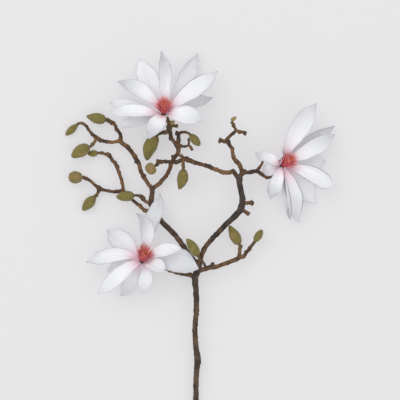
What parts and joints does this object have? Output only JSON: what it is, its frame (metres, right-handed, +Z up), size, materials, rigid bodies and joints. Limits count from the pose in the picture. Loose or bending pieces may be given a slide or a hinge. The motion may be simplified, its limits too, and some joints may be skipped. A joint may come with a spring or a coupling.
{
  "type": "magnolia branch",
  "caption": "A cut magnolia branch lying down: a knobbly brown forked stem with fuzzy olive buds and open white star-shaped flowers with pink-red centres.",
  "frame": {"origin": "the point of the surface that lies under the middle of the branch's bounding box", "axes": "+Z up from the surface, +Y along the branch from the cut end towards the top flower, +X across it towards the flower on the right limb"},
  "size_m": [0.269, 0.3966, 0.042],
  "materials": {
    "bark": "matte",
    "bud_down": "matte",
    "leaf_bud_scales": "matte",
    "tepal": "satin",
    "pistil": "satin",
    "stamens": "satin"
  },
  "bodies": {
    "root": {"branch_wood": "bark", "bud_01": "bud_down", "bud_02": "bud_down", "bud_03": "bud_down", "bud_04": "bud_down", "bud_05": "bud_down", "bud_06": "bud_down", "bud_07": "bud_down", "bud_08": "bud_down", "bud_09": "bud_down", "bud_10": "bud_down", "bud_11": "bud_down", "bud_12": "bud_down", "bud_13": "bud_down", "bud_14": "bud_down", "leaf_bud_1": "leaf_bud_scales", "leaf_bud_2": "leaf_bud_scales", "left_flower_pistil": "pistil", "left_flower_stamens": "stamens", "left_flower_tepal_01": "tepal", "left_flower_tepal_02": "tepal", "left_flower_tepal_03": "tepal", "left_flower_tepal_04": "tepal", "left_flower_tepal_05": "tepal", "left_flower_tepal_06": "tepal", "left_flower_tepal_07": "tepal", "left_flower_tepal_08": "tepal", "left_flower_tepal_09": "tepal", "left_flower_tepal_10": "tepal", "left_flower_tepal_11": "tepal", "right_flower_pistil": "pistil", "right_flower_stamens": "stamens", "right_flower_tepal_01": "tepal", "right_flower_tepal_02": "tepal", "right_flower_tepal_03": "tepal", "right_flower_tepal_04": "tepal", "right_flower_tepal_05": "tepal", "right_flower_tepal_06": "tepal", "right_flower_tepal_07": "tepal", "right_flower_tepal_08": "tepal", "right_flower_tepal_09": "tepal", "right_flower_tepal_10": "tepal", "right_flower_tepal_11": "tepal", "right_flower_tepal_12": "tepal", "top_flower_pistil": "pistil", "top_flower_stamens": "stamens", "top_flower_tepal_01": "tepal", "top_flower_tepal_02": "tepal", "top_flower_tepal_03": "tepal", "top_flower_tepal_04": "tepal", "top_flower_tepal_05": "tepal", "top_flower_tepal_06": "tepal", "top_flower_tepal_07": "tepal", "top_flower_tepal_08": "tepal", "top_flower_tepal_09": "tepal", "top_flower_tepal_10": "tepal", "top_flower_tepal_11": "tepal"}
  },
  "joints": []
}
